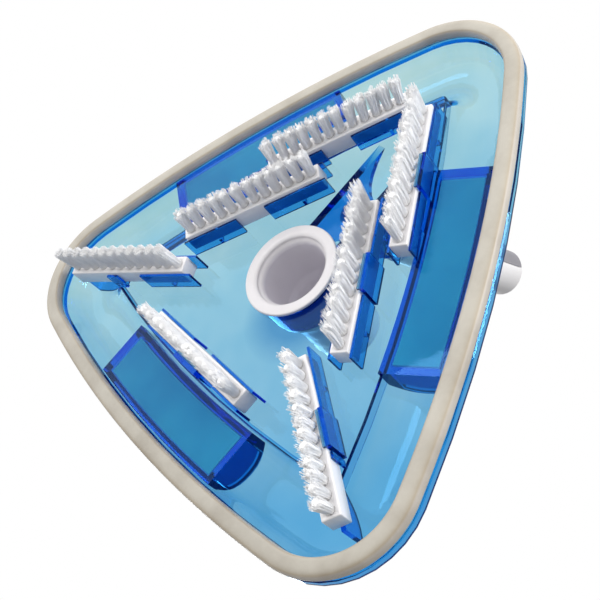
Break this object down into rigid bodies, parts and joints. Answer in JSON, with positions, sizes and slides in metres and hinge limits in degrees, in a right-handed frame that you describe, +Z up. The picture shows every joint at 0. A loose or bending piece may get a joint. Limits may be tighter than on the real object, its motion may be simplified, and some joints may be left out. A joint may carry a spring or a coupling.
{
  "type": "manual vacuum head",
  "caption": "Triangular see-through weighted pool vacuum head with clipped-in brushes, swivel hose connector and tilting pole handle.",
  "frame": {"origin": "centre of the footprint, in the plane of the bristle tips", "axes": "+Z up, +X towards the tip corner that the handle leans over, +Y to the left side"},
  "size_m": [0.2823, 0.302, 0.1725],
  "materials": {
    "clear_blue": "polished translucent moulding",
    "cream_vinyl": "soft satin vinyl",
    "white_plastic": "semi-gloss moulding",
    "white_nylon": "bristle filaments",
    "coated_iron": "dull paint",
    "stainless_steel": "satin",
    "black_rubber": "matt",
    "grey_plastic": "matt moulding"
  },
  "bodies": {
    "head": {"shell": "clear_blue", "bumper": "cream_vinyl", "weight_left": "coated_iron", "weight_rear": "coated_iron", "weight_right": "coated_iron", "weight_cover_left": "clear_blue", "weight_cover_rear": "clear_blue", "weight_cover_right": "clear_blue", "brush_base_rear": "white_plastic", "brush_base_front_left": "white_plastic", "brush_base_front_right": "white_plastic", "brush_base_middle_left": "white_plastic", "brush_base_middle_right": "white_plastic", "brush_base_corner_left": "white_plastic", "brush_base_corner_right": "white_plastic", "bristles_rear": "white_nylon", "bristles_front_left": "white_nylon", "bristles_front_right": "white_nylon", "bristles_middle_left": "white_nylon", "bristles_middle_right": "white_nylon", "bristles_corner_left": "white_nylon", "bristles_corner_right": "white_nylon", "seal_washer": "black_rubber", "pivot_bolt": "stainless_steel", "pivot_nut": "stainless_steel", "washer_left": "stainless_steel", "washer_right": "stainless_steel"},
    "connector": {"hose_connector": "white_plastic", "retainer_ring": "stainless_steel"},
    "handle": {"handle": "white_plastic", "handle_strip": "grey_plastic"},
    "clip_left": {"clip_arm_left": "white_plastic"},
    "clip_right": {"clip_arm_right": "white_plastic"}
  },
  "joints": [
    {"name": "connector_swivel", "type": "hinge", "parent": "head", "child": "connector", "pos_m": [-0.02375, 0, 0.04], "axis": [0, 0, 1], "continuous": true},
    {"name": "handle_tilt", "type": "hinge", "parent": "head", "child": "handle", "pos_m": [0.02405, 0, 0.056], "axis": [0, 1, 0], "range_deg": [-40, 62]},
    {"name": "snap_left", "type": "hinge", "parent": "handle", "child": "clip_left", "pos_m": [0.03679, 0, 0.08752], "axis": [0.9272, 0, -0.3746], "range_deg": [0, 4.4], "stiffness_Nm_per_rad": 2, "springref_deg": -2.86},
    {"name": "snap_right", "type": "hinge", "parent": "handle", "child": "clip_right", "pos_m": [0.03679, 0, 0.08752], "axis": [-0.9272, 0, 0.3746], "range_deg": [0, 4.4], "stiffness_Nm_per_rad": 2, "springref_deg": -2.86}
  ]
}
